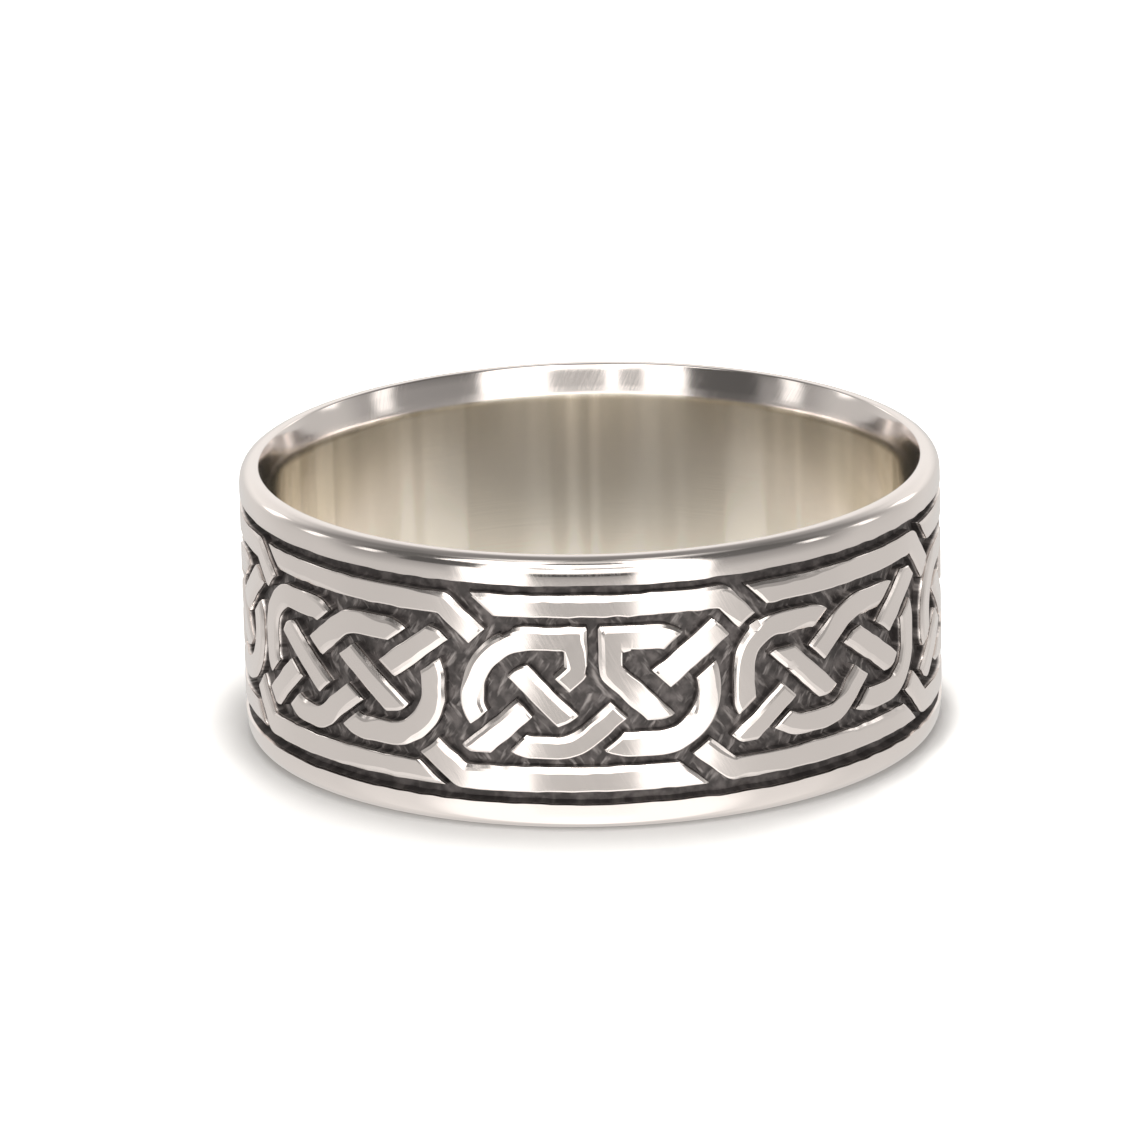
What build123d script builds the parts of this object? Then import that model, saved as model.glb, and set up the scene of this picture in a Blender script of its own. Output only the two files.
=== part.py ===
from build123d import *
import os
from math import atan2, copysign, cos, hypot, pi, sin, tan

# A silver band ring with a raised celtic interlace, carved round the outside between two plain borders.
# It stands on its lower rim: +Z is the ring's axis and the origin is the bottom centre.
# The front panel of the interlace faces -Y. All lengths are in millimetres.

# The band's section
bore_diameter = 19.8
wall_thickness = 0.9
band_width = 8.5
outer_rim_round = 0.42
bevel_width = 0.3
bevel_height = 0.95
least_rim = 0.1

# The carving, from the rim inwards
border_width = 0.86
groove_width = 0.35
carving_depth = 0.3
panel_count = 8

# The interlace: a rail along each side, and a knot in every panel
rail_width = 0.68
rail_gap = 0.38
strand_width = 0.71
strand_gap = 0.32
rail_end_gap = 0.42
knot_spacing = 0.5
front_slit = 0.36
front_lift = 0.14
loop_radius = 1.9
bend_radius = 0.9
tight_radius = 0.2
foot_radius = 0.35
corner_radius = 0.3
smallest_bend = 0.05
bend_share = 0.98
rooting_depth = 0.15
rail_overlap = 0.3
cutter_reach = 1.0

# Places that follow from these sizes
outer_radius = bore_diameter / 2 + wall_thickness
floor_radius = outer_radius - carving_depth
root_radius = floor_radius - rooting_depth
middle_height = band_width / 2
field_half = middle_height - border_width - groove_width
panel_length = 2 * pi * outer_radius / panel_count

# Every crossing lies on a lattice. A panel is six steps long, and its rails are 2.5 steps off the middle and
# turn down 2.75 steps along.
panel_steps = 6
half_panel = panel_steps / 2
rail_steps = 2.5
rail_corner = 2.75
rail_level = field_half - rail_width / 2
step_along = panel_length / panel_steps
step_up = rail_level / rail_steps

# Places in lattice steps that the sizes set: the level of the knot's long runs, which lie a little higher in
# the front panel, the end of its loops, the middle of the strands on either side of the front knot's slit, and
# both ends of a straight stretch of rail, which runs on a little way under the bend at either end
run = (rail_level - (rail_width + strand_width) / 2 - rail_gap) / step_up
front_run = run + front_lift / step_up
loop_end = half_panel - (knot_spacing + strand_width) / 2 / step_along
slit_side = (front_slit + strand_width) / 2 / step_along
rail_start = rail_corner - panel_steps + rail_overlap / step_along
rail_end = 1 + rail_overlap / step_along

# A bend of the strand's middle that leaves its outer corner square
square_bend = smallest_bend - strand_width / 2

# The visible pieces of one panel, each from the middle of a crossing where it dives under another strand
# to the middle of the next. The columns of a corner are steps along, steps up and radius of the bend.
# The other half of the panel is these same pieces turned half a turn about the panel's centre.
courses = {
    "loop": [(0, 1, 0), (1 - run, run, bend_radius), (-loop_end, run, loop_radius),
             (-loop_end, loop_end - half_panel, foot_radius), (-2, -1, 0)],
    "wave": [(-1, 0, 0), (run - 1, run, bend_radius), (3 - run, run, bend_radius), (2, 1, 0)],
    "tie": [(1, 0, 0), (3, 2, 0)],
    "bar": [(-2, 1, 0), (0, -1, 0)],
    "rail": [(rail_start, rail_steps, 0), (rail_end, rail_steps, 0)],
    "rail bend": [(1, rail_steps, 0), (rail_corner, rail_steps, corner_radius), (4, 1.05, 0)],
}

# The front knot's upper middle crossing is parted by an upright slit: the loop and the wave become a hook,
# and the wave and the falling bar become a crook. The other bar is steeper there.
front_courses = {
    "hook": [(-0.95, 0, 0), (-slit_side, 0.7, tight_radius), (-slit_side, front_run, square_bend),
             (-loop_end, front_run, loop_radius), (-loop_end, loop_end - half_panel, foot_radius), (-2, -1, 0)],
    "crook": [(2.1, 1.1, 0), (3.2 - front_run, front_run, bend_radius), (slit_side, front_run, square_bend),
              (slit_side, 0.67, tight_radius), (1.77, -1.16, 0)],
    "steep bar": [(-2.16, 1.38, 0), (-0.14, -1.31, 0)],
}


def middle_half(corners):
    """The middle half of a straight course, which is all of it that passes over another strand."""
    (ax, ay, _), (bx, by, _) = corners
    return [(0.75 * ax + 0.25 * bx, 0.75 * ay + 0.25 * by, 0), (0.25 * ax + 0.75 * bx, 0.25 * ay + 0.75 * by, 0)]


# The stretches that cut other strands short, where that isn't the whole piece
over_stretches = {name: middle_half(courses[name]) for name in ("tie", "bar")}
front_over_stretches = {
    "hook": [(-slit_side - 1, front_run, 0), (-loop_end, front_run, loop_radius), (-loop_end, 0, 0)],
    "crook": middle_half(front_courses["crook"][-2:]),
    "steep bar": middle_half(front_courses["steep bar"]),
}

# The strands that each piece dives under, and how many panels further on they lie
dives_under = {
    "loop": [("wave", 0), ("turned tie", 0)],
    "wave": [("bar", 0), ("tie", 0)],
    "tie": [("turned bar", 0), ("rail bend", 0)],
    "bar": [("loop", 0), ("turned wave", 0)],
    "rail": [("rail stop", -1)],
    "rail bend": [("loop", 1)],
}
front_dives_under = {
    "hook": [("turned tie", 0), ("steep bar", 0)],
    "crook": [("tie", 0), ("turned loop", 0)],
    "steep bar": [("hook", 0), ("turned wave", 0)],
    "tie": [("crook", 0), ("rail bend", 0)],
    "turned tie": [("steep bar", 0), ("turned rail bend", 0)],
    "turned wave": [("crook", 0), ("turned tie", 0)],
}
not_in_front = ("loop", "wave", "bar", "turned bar")


def shift_line(points, offset):
    """The polyline moved sideways by offset, to its left where offset is positive."""
    runs = [(bx - ax, by - ay) for (ax, ay), (bx, by) in zip(points, points[1:])]
    normals = [(-dy / hypot(dx, dy), dx / hypot(dx, dy)) for dx, dy in runs]
    shifted = []
    for i, (x, y) in enumerate(points):
        before = normals[max(i - 1, 0)]
        after = normals[min(i, len(normals) - 1)]
        scale = offset / (1 + before[0] * after[0] + before[1] * after[1])
        shifted.append((x + (before[0] + after[0]) * scale, y + (before[1] + after[1]) * scale))
    return shifted


def turn_at(points, i):
    """The angle in radians by which the polyline turns at corner i, positive to the left."""
    heading_in = atan2(points[i][1] - points[i - 1][1], points[i][0] - points[i - 1][0])
    heading_out = atan2(points[i + 1][1] - points[i][1], points[i + 1][0] - points[i][0])
    return (heading_out - heading_in + pi) % (2 * pi) - pi


def bend_radii(points, corners, offset):
    """The radius of each bend of a line shifted to its left by offset: less on the inside of a bend and
    more on the outside. Where the bends at both ends of a run need more than its length, both shrink."""
    last = len(points) - 1
    turns = [0] + [turn_at(points, i) for i in range(1, last)] + [0]
    radii = [max(corner[2] - copysign(offset, turn), smallest_bend) for corner, turn in zip(corners, turns)]
    taken = [radius * tan(abs(turn) / 2) for radius, turn in zip(radii, turns)]
    room = []
    for i, ((ax, ay), (bx, by)) in enumerate(zip(points, points[1:])):
        wanted = taken[i] + taken[i + 1]
        room.append(min(1, bend_share * hypot(bx - ax, by - ay) / wanted) if wanted else 1)
    return [radii[i] * min(room[i - 1], room[i]) for i in range(1, last)]


def strand(corners, width, widened=0):
    """A prism over the outline of a strand, square to the band at the strand's middle. It starts so far in
    that it is below the strand's root at both of its ends."""
    flat = [(along * step_along, up * step_up) for along, up, _ in corners]
    first, last = min(x for x, _ in flat), max(x for x, _ in flat)
    middle = (first + last) / 2
    planar = [(outer_radius * sin((x - middle) / outer_radius), y) for x, y in flat]
    left = shift_line(planar, width / 2)
    right = shift_line(planar, -width / 2)
    radii = ([0] + bend_radii(left, corners, width / 2) + [0, 0]
             + bend_radii(right, corners, -width / 2)[::-1] + [0])
    outline = make_face(FilletPolyline(*left, *right[::-1], radius=radii, close=True))
    if widened:
        outline = offset(outline, widened)
    angle = middle / outer_radius
    outward = Vector(sin(angle), -cos(angle), 0)
    start = root_radius * cos((last - first) / 2 / outer_radius) - width
    origin = outward * start + Vector(0, 0, middle_height)
    plane = Plane(origin=origin, x_dir=(cos(angle), sin(angle), 0), z_dir=outward)
    return extrude(plane * outline, outer_radius + cutter_reach - start)


def turned(shape):
    """The shape turned half a turn about the front panel's centre."""
    return shape.rotate(Axis((0, 0, middle_height), (0, 1, 0)), 180)


def turned_name(name):
    """The name of the piece that a half turn of the panel brings here."""
    return name[len("turned "):] if name.startswith("turned ") else "turned " + name


def moved_on(shape, panels):
    """The shape moved round the band by a number of panels."""
    return shape.rotate(Axis.Z, 360 / panel_count * panels)


def both_halves(course_table, widened=0):
    """Each course of the table as a prism, with its turned twin."""
    shapes = {}
    for name, corners in course_table.items():
        width = rail_width if name.startswith("rail") else strand_width
        shapes[name] = strand(corners, width, widened)
        shapes[turned_name(name)] = turned(shapes[name])
    return shapes


def ring_of(inner, outer, low, high):
    """A plain ring between two radii and two heights."""
    return extrude(Pos(0, 0, low) * (Circle(outer) - Circle(inner)), high - low)


def cut_panel(shapes, cutters, rules):
    """One panel's pieces, each cut short of the strands that it dives under, and trimmed to the band. The
    cutters are those strands, widened by the gap."""
    skin = ring_of(root_radius, outer_radius, 0, band_width)
    pieces = []
    for name, over in rules.items():
        piece = shapes[name]
        for over_name, panels in over:
            piece = piece - moved_on(cutters[over_name], panels)
        pieces += (piece & skin).solids()
    return pieces


def regular_rules():
    """What each piece of a regular panel dives under, for both halves of the panel."""
    rules = dict(dives_under)
    for name, over in dives_under.items():
        rules[turned_name(name)] = [(turned_name(over_name), -panels) for over_name, panels in over]
    return rules


def front_rules():
    """The same for the front panel, where the hook, the crook and the steep bar stand in for four pieces."""
    kept = {name: over for name, over in regular_rules().items() if name not in not_in_front}
    return kept | front_dives_under


def plain_band():
    """The turned blank: wall, rounded outer rims, a bore that opens in a slight bevel at both ends, and the
    sunk field between the two borders."""
    bore_radius = bore_diameter / 2
    inner_rim = bore_radius + bevel_width
    bore_side = [(inner_rim, 0), (bore_radius, bevel_height), (bore_radius, band_width - bevel_height),
                 (inner_rim, band_width)]
    section = make_face(Polyline(*bore_side, (outer_radius, band_width), (outer_radius, 0), close=True))
    rim_round = min(outer_rim_round, outer_radius - inner_rim - least_rim, border_width - least_rim)
    section = fillet(section.vertices().group_by(Axis.X)[-1], rim_round)
    blank = revolve(Plane.XZ * section, Axis.Z)
    return blank - ring_of(floor_radius, outer_radius + cutter_reach, border_width, band_width - border_width)


shapes = both_halves(courses)
front_shapes = shapes | both_halves(front_courses)
rail_stop = both_halves({"rail stop": courses["rail bend"]}, rail_end_gap)
cutters = both_halves(courses | over_stretches, strand_gap) | rail_stop
front_cutters = cutters | both_halves(front_over_stretches, strand_gap)

relief = cut_panel(front_shapes, front_cutters, front_rules())
regular_panel = cut_panel(shapes, cutters, regular_rules())
for panel in range(1, panel_count):
    relief += [moved_on(piece, panel) for piece in regular_panel]

band = plain_band().fuse(*relief)
band.label = "band"
print(f"pieces of relief {len(relief)}, solids {len(band.solids())}, faces {len(band.faces())}, "
      f"volume {band.volume:.2f} mm3")

os.makedirs("parts", exist_ok=True)
export_step(band, "parts/band.step")
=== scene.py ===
# %% [markdown]
# # A silver ring with carved knotwork
# The ring is one piece of silver. A jeweller turns or casts the band, cuts the ground away between two plain
# borders so that the knot stands up, blackens the whole of it, and then polishes the black off everything that
# stands high. This lesson follows the same order: the band first, then the knot on top of it, then the
# metal's finish, and at the end the light that shows it.

# %% Load the frame
from math import cos, pi, radians, sin

import bpy
import numpy as np
from mathutils import Matrix, Vector


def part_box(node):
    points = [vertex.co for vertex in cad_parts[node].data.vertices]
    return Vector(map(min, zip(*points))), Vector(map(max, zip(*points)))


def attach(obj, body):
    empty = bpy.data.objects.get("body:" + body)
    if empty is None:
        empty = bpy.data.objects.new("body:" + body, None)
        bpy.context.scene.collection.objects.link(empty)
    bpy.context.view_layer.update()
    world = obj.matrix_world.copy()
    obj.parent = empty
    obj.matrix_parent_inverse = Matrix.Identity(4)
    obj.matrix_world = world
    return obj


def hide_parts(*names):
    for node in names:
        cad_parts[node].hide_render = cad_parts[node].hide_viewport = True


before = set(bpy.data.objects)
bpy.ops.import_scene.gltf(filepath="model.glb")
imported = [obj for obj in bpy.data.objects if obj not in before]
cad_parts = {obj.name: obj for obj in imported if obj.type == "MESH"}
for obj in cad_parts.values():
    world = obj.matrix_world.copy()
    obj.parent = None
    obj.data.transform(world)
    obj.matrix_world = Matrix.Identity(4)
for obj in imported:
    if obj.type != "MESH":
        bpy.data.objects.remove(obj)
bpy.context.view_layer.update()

# %% [markdown]
# ## Sizes
# The frame gives the two sizes that everything else hangs on: the outer radius and the height of the band.
# The other sizes are what a jeweller would write on the drawing, in millimetres. The drawing is for a ring of
# 10.8 mm outer radius, so one of its millimetres is the frame's radius over 10.8, and the whole ring would
# grow with the frame.

# %% Sizes
low_corner, high_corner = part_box("band")
outer_radius = high_corner.x
band_width = high_corner.z - low_corner.z
middle_height = low_corner.z + band_width / 2
drawn_radius = 10.8
mm = outer_radius / drawn_radius

wall_thickness = 0.9 * mm
bore_radius = outer_radius - wall_thickness
bevel_width = 0.3 * mm
bevel_height = 0.95 * mm
rim_round = 0.42 * mm
border_width = 0.86 * mm
groove_width = 0.35 * mm
carving_depth = 0.3 * mm
floor_radius = outer_radius - carving_depth
once_round = 2 * pi * outer_radius
print(f"outer radius {outer_radius / mm:.2f} mm, band width {band_width / mm:.2f} mm")

# %% [markdown]
# ## Helpers for surfaces
# Both pieces are grids of points, worked out as whole arrays. A grid that closes on itself in one or both
# directions needs no seam: the faces of its last row or column simply use the first one again. Another helper
# makes smooth random unevenness, because a hand-carved surface is never exactly even.

# %% Helpers for surfaces
def wrap(along, height, radius):
    """Points of a cylinder about the Z axis. along is the length round the outside from the front (-Y), and
    the angle is that length over the outer radius; then x = r sin(angle) and y = -r cos(angle)."""
    angle = along / outer_radius
    return np.stack([radius * np.sin(angle), -radius * np.cos(angle), height + 0 * angle], axis=-1)


def from_front(along):
    """The same place as a length between half a round to the left and half a round to the right."""
    return (along + once_round / 2) % once_round - once_round / 2


def grid_faces(rows, columns, close_rows, close_columns):
    """Quads of a grid of points numbered row by row. Where a direction is closed, its last line of points
    is joined to its first."""
    row = np.arange(rows if close_rows else rows - 1)[:, None]
    column = np.arange(columns if close_columns else columns - 1)[None, :]
    next_row = (row + 1) % rows
    next_column = (column + 1) % columns
    corners = [row * columns + column, next_row * columns + column,
               next_row * columns + next_column, row * columns + next_column]
    return np.stack(corners, axis=-1).reshape(-1, 4)


def ease(value, low, high):
    """0 below low, 1 above high, and 3t^2 - 2t^3 between them."""
    t = np.clip((value - low) / (high - low), 0, 1)
    return t * t * (3 - 2 * t)


def uneven(around, across, cells, seed):
    """Smooth random values from -1 to 1. Random numbers sit on the corners of a lattice, and each point blends
    the four about it with the weight 3t^2 - 2t^3. The first direction repeats after one whole turn."""
    turns, rows = cells
    table = np.random.default_rng(seed).uniform(-1, 1, (turns, rows))
    u = np.asarray(around) * turns
    v = np.asarray(across) * rows
    i, j = np.floor(u).astype(int), np.floor(v).astype(int)
    s, t = ease(u - i, 0, 1), ease(v - j, 0, 1)
    corner = [[table[(i + a) % turns, (j + b) % rows] for b in (0, 1)] for a in (0, 1)]
    near = corner[0][0] * (1 - t) + corner[0][1] * t
    far = corner[1][0] * (1 - t) + corner[1][1] * t
    return near * (1 - s) + far * s


def new_object(name, data):
    """An object at the origin that holds the data, put into the scene."""
    thing = bpy.data.objects.new(name, data)
    bpy.context.scene.collection.objects.link(thing)
    return thing


def new_piece(name, points, faces, tarnish, sharp_angle):
    """A piece of the ring. tarnish, from 0 for bright metal to 1 for blackened metal, becomes an attribute of
    the points that the material reads."""
    mesh = bpy.data.meshes.new(name)
    mesh.from_pydata(points.reshape(-1, 3).tolist(), [], faces)
    mesh.attributes.new("tarnish", "FLOAT", "POINT").data.foreach_set("value", tarnish.ravel().astype("f"))
    mesh.shade_smooth()
    mesh.set_sharp_from_angle(angle=radians(sharp_angle))
    mesh.validate()
    triangles = sum(len(face) - 2 for face in faces)
    print(f"{name}: {len(mesh.vertices)} points, {triangles} triangles")
    return new_object(name, mesh)


# %% [markdown]
# ## The band
# In metal this is turned on a lathe and then carved. In Blender it could be a cylinder with loop cuts, or a
# profile spun round the axis. Here it is a profile carried round the axis as one closed grid, which keeps
# every row under control: the bore, the slanted mouth of the bore, the rounded rim, the plain border, the wall
# down to the ground, and the ground itself, whose points are then pushed up and down a little.

# %% The band's profile
def arc(centre, radius, start, end, steps):
    """Points of an arc about centre from one angle to another, in degrees, as columns r and z."""
    angle = np.radians(np.linspace(start, end, steps))
    return np.stack([centre[0] + radius * np.cos(angle), centre[1] + radius * np.sin(angle)], axis=1)


def line(start, end, steps):
    """Points of a straight line between two points, without the last one."""
    share = np.linspace(0, 1, steps, endpoint=False)[:, None]
    return np.array(start) * (1 - share) + np.array(end) * share


half_width = band_width / 2
ground_top = half_width - border_width
edge_round = 0.04 * mm
wall_slant = 0.05 * mm
mouth_round = 0.07 * mm
throat_round = 1.2 * mm
shoulder_round = 1.5 * mm
shoulder_turn = 9
lower_lean = 4.5


def half_profile(lean):
    """The upper half of the band's section, from the middle of the bore to the foot of the border's wall:
    bore, throat, bevel, mouth, flat top, rim, shoulder, border and wall. The throat and the shoulder are arcs
    of a large radius, and each arc starts where the one before it ends. The border leans in by lean degrees
    towards the rim."""
    slope = np.degrees(np.arctan2(bevel_width, bevel_height))
    throat_low = half_width - bevel_height - throat_round * np.tan(radians(slope / 2))
    throat = arc((bore_radius + throat_round, throat_low), throat_round, 180, 180 - slope, 6)
    mouth_tip = (bore_radius + bevel_width + mouth_round * (1 - sin(radians(slope))) / cos(radians(slope)),
                 half_width - mouth_round)
    mouth = arc(mouth_tip, mouth_round, 180 - slope, 90, 6)
    start = shoulder_turn + lean
    shoulder_high = half_width - rim_round * (1 - sin(radians(start)))
    shoulder_low = shoulder_high - shoulder_round * (sin(radians(start)) - sin(radians(lean)))
    face_in = (shoulder_low - ground_top) * np.tan(radians(lean))
    face_end = (outer_radius - face_in, shoulder_low)
    shoulder_centre = (face_end[0] - shoulder_round * cos(radians(lean)),
                       shoulder_low - shoulder_round * sin(radians(lean)))
    shoulder = arc(shoulder_centre, shoulder_round, start, lean, 5)
    rim_centre = (shoulder[0, 0] - rim_round * cos(radians(start)), half_width - rim_round)
    return np.concatenate([
        line((bore_radius, 0), throat[0], 2), throat,
        line(throat[-1], mouth[0], 3)[1:], mouth,
        arc(rim_centre, rim_round, 90, start, 14), shoulder[1:],
        line(face_end, (outer_radius, ground_top + edge_round), 4)[1:],
        line((outer_radius, ground_top + edge_round), (floor_radius, ground_top - wall_slant), 4),
    ])


ground_rows = 62
foot = ground_top - wall_slant
ground = line((floor_radius, foot), (floor_radius, -foot), ground_rows)
lower_half = half_profile(lower_lean)[:0:-1] * (1, -1)
profile = np.concatenate([half_profile(0), ground, [(floor_radius, -foot)], lower_half])
is_outside = profile[:, 0] > bore_radius + 0.5 * wall_thickness
is_ground = (np.abs(profile[:, 1]) < ground_top) & is_outside
print(f"profile points {len(profile)}, of them on the ground {is_ground.sum()}")

# %% The band's grid
band_columns = 680
# Each pair is the number of random cells round the ring and across it.
coarse_marks, fine_marks, edge_cells = (230, 24), (460, 60), (160, 1)
depth_of_marks = 0.05 * mm
edge_waver_size = 0.02 * mm

share = np.arange(band_columns)[:, None] / band_columns
along = share * 2 * pi * outer_radius
radius = np.tile(profile[:, 0], (band_columns, 1))
height = np.tile(profile[:, 1], (band_columns, 1))
up = height / band_width + 0.5

tool_marks = 0.6 * uneven(share, up, coarse_marks, 3) + 0.4 * uneven(share, up, fine_marks, 4)
radius = radius - np.where(is_ground, depth_of_marks * (0.3 + np.abs(tool_marks)), 0)
edge_waver = edge_waver_size * uneven(share, 0 * share, edge_cells, 5)
near_edge = (np.abs(np.abs(height) - ground_top) < 3 * edge_round) & is_outside
height = height + np.where(near_edge, np.sign(height) * edge_waver, 0)

band_points = wrap(along + 0 * height, height + middle_height, radius)
band_tarnish = np.tile(np.where(is_ground, 1.0, 0.0), (band_columns, 1))
band_faces = grid_faces(band_columns, len(profile), True, True)
band = new_piece("silver_band", band_points, band_faces.tolist(), band_tarnish, sharp_angle=28)

# %% [markdown]
# ## Drawing the knot
# Celtic knotwork is drawn on a lattice of evenly spaced dots. One panel of this ring is six steps long, eight
# panels go round it, and a rail runs along either side. Every strand is a line from crossing to crossing, with
# a round bend at each corner. The far side of the ring gets the regular knot, worked out from the lattice.
# A strand whose name starts with turned is the twin that lies half a turn about the panel's middle.

# %% The regular knot
panel_count = 8
rail_width = 0.68 * mm
strand_width = 0.71 * mm
rail_gap = 0.38 * mm
knot_spacing = 0.5 * mm
crossing_gap = 0.33 * mm
rail_end_gap = 0.42 * mm

field_half = half_width - border_width - groove_width
panel_length = once_round / panel_count
panel_steps = 6
half_panel = panel_steps / 2
rail_steps = 2.5
rail_corner = 2.75
step_along = panel_length / panel_steps
rail_level = field_half - rail_width / 2
step_up = rail_level / rail_steps
run = (rail_level - (rail_width + strand_width) / 2 - rail_gap) / step_up
loop_end = half_panel - (knot_spacing + strand_width) / 2 / step_along
print(f"lattice steps {step_along / mm:.3f} mm along and {step_up / mm:.3f} mm up")

# The columns of a corner are steps along, steps up and the bend's radius in millimetres.
regular_courses = {
    "rail": [(rail_corner - panel_steps, rail_steps, 0), (rail_corner, rail_steps, 0.2), (4.0, 1.05, 0)],
    "loop": [(0, 1, 0), (1 - run, run, 0.9), (-loop_end, run, 1.6), (-loop_end, -0.7, 1.0), (-2, -1.2, 0)],
    "wave": [(-1, 0, 0), (run - 1, run, 0.9), (3 - run, run, 0.9), (2, 1, 0)],
    "bar": [(-2, 1, 0), (0, -1, 0)],
    "tie": [(1, 0, 0), (3, 2, 0)],
}


def turned_name(name):
    """The name of a strand's twin."""
    return name[len("turned "):] if name.startswith("turned ") else "turned " + name


def regular_panel():
    """Every strand of a regular panel, in the same columns as the charts below."""
    strands = {}
    for name, steps in regular_courses.items():
        width = rail_width if name == "rail" else strand_width
        first_gap = rail_end_gap if name == "rail" else crossing_gap
        for sign, title in ((1, name), (-1, turned_name(name))):
            corners = [(sign * a * step_along / mm, sign * b * step_up / mm, bend) for a, b, bend in steps]
            strands[title] = (width / mm, first_gap / mm, crossing_gap / mm, corners)
    return strands


# %% [markdown]
# ## The three panels that face the viewer
# These were cut by hand and differ from each other, so each has a chart of its own. For every strand it gives
# the width, the gap that the strand keeps from the one above it at its first and at its last end, and its
# corners: along and up from the panel's middle, and the radius of the bend. All are in millimetres. The front
# panel has a hook and a crook instead of three of the strands, with an upright slit between them.

# %% Chart of the left panel
square = -0.3
left_panel = {
    "rail": (0.66, 0.42, 0.32, [(-4.6, 2.7, 0), (3.87, 2.7, 0.1), (5.3, 1.44, 0)]),
    "turned rail": (0.68, 0.25, 0.32, [(5.0, -2.69, 0), (-3.89, -2.69, 0.3), (-5.3, -1.13, 0)]),
    "loop": (0.72, 0.22, 0.32, [(-0.1, 1.1, 0), (-0.95, 1.7, 0.9), (-3.72, 1.72, 1.4),
                                (-3.72, -0.8, 1.0), (-2.83, -1.35, 0)]),
    "wave": (0.70, 0.32, 0.32, [(-1.75, 0.0, 0), (0.37, 1.63, 1.2), (2.1, 1.62, 0.9), (2.83, 1.08, 0)]),
    "bar": (0.72, 0.38, 0.38, [(-3.2, 1.2, 0), (-0.2, -1.11, 0)]),
    "turned bar": (0.72, 0.32, 0.34, [(3.0, -1.43, 0), (-0.25, 1.1, 0)]),
    "tie": (0.70, 0.36, 0.44, [(1.3, -0.06, 0), (4.2, 2.13, 0)]),
    "turned tie": (0.70, 0.34, 0.36, [(-1.5, 0.12, 0), (-4.3, -2.36, 0)]),
    "turned wave": (0.67, 0.44, 0.32, [(1.35, 0.0, 0), (-0.89, -1.77, 0.9), (-2.05, -1.76, 0.9),
                                       (-2.83, -1.15, 0)]),
    "turned loop": (0.74, 0.22, 0.32, [(-0.1, -1.15, 0), (0.6, -1.66, 0.9), (3.49, -1.66, 1.6),
                                       (3.49, 0.75, 1.0), (2.8, 1.3, 0)]),
}

# %% Chart of the front panel
front_panel = {
    "rail": (0.66, 0.53, 0.32, [(-4.6, 2.77, 0), (3.98, 2.78, 0.1), (5.35, 1.33, 0)]),
    "turned rail": (0.76, 0.42, 0.32, [(4.8, -2.6, 0), (-4.12, -2.67, 0.2), (-5.6, -1.48, 0)]),
    "hook": (0.70, 0.34, 0.32, [(-1.34, 0.0, 0), (-0.53, 0.76, 0.05), (-0.53, 1.78, square),
                                (-3.72, 1.76, 1.9), (-3.72, -0.75, 1.0), (-2.83, -1.3, 0)]),
    "crook": (0.72, 0.32, 0.36, [(2.95, 1.15, 0), (2.2, 1.77, 0.9), (0.52, 1.77, square),
                                 (0.52, 0.72, 0.2), (2.5, -1.25, 0)]),
    "bar": (0.67, 0.50, 0.34, [(-3.05, 1.49, 0), (-0.2, -1.41, 0)]),
    "tie": (0.74, 0.50, 0.34, [(1.3, -0.15, 0), (4.3, 2.15, 0)]),
    "turned tie": (0.72, 0.34, 0.42, [(-1.5, 0.1, 0), (-4.3, -2.37, 0)]),
    "turned wave": (0.68, 0.34, 0.30, [(1.3, 0.0, 0), (-0.62, -1.655, 1.6), (-2.15, -1.655, 0.9),
                                       (-2.83, -1.1, 0)]),
    "turned loop": (0.74, 0.30, 0.36, [(0.0, -1.1, 0), (0.75, -1.57, 0.9), (3.53, -1.6, 1.6),
                                       (3.53, 0.65, 1.0), (2.83, 1.2, 0)]),
}

# %% Chart of the right panel
right_panel = {
    "rail": (0.68, 0.42, 0.32, [(-4.6, 2.69, 0), (3.7, 2.7, 0.35), (5.0, 1.35, 0)]),
    "turned rail": (0.69, 0.36, 0.32, [(5.0, -2.66, 0), (-4.24, -2.65, 0.3), (-5.6, -1.5, 0)]),
    "loop": (0.68, 0.32, 0.36, [(-0.55, 1.05, 0), (-1.2, 1.65, 0.9), (-3.82, 1.66, 1.2),
                                (-3.82, -0.9, 1.0), (-2.95, -1.45, 0)]),
    "wave": (0.76, 0.32, 0.28, [(-1.75, 0.0, 0), (0.09, 1.57, 1.6), (1.95, 1.58, 0.6), (2.75, 1.05, 0)]),
    "bar": (0.65, 0.46, 0.36, [(-3.0, 1.27, 0), (-0.2, -1.4, 0)]),
    "turned bar": (0.72, 0.32, 0.34, [(3.1, -1.33, 0), (-0.4, 1.16, 0)]),
    "tie": (0.80, 0.42, 0.34, [(1.4, 0.17, 0), (4.0, 2.4, 0)]),
    "turned tie": (0.69, 0.44, 0.44, [(-1.9, -0.2, 0), (-4.5, -2.28, 0)]),
    "turned wave": (0.66, 0.40, 0.22, [(1.3, 0.04, 0), (-0.4, -1.68, 1.4), (-2.05, -1.66, 0.9),
                                       (-2.95, -1.15, 0)]),
    "turned loop": (0.70, 0.32, 0.34, [(0.1, -1.05, 0), (0.8, -1.57, 0.9), (3.29, -1.6, 1.2),
                                       (3.29, 0.75, 1.0), (2.6, 1.3, 0)]),
}

# %% [markdown]
# ## Over and under
# Along every strand of a Celtic knot the crossings alternate: over, under, over. So each strand is cut short
# at both ends, where it dives under another one. The table names the strand above each end, and how many
# panels further on that strand lies. For a twin the same rule holds, turned like the strand itself.

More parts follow.
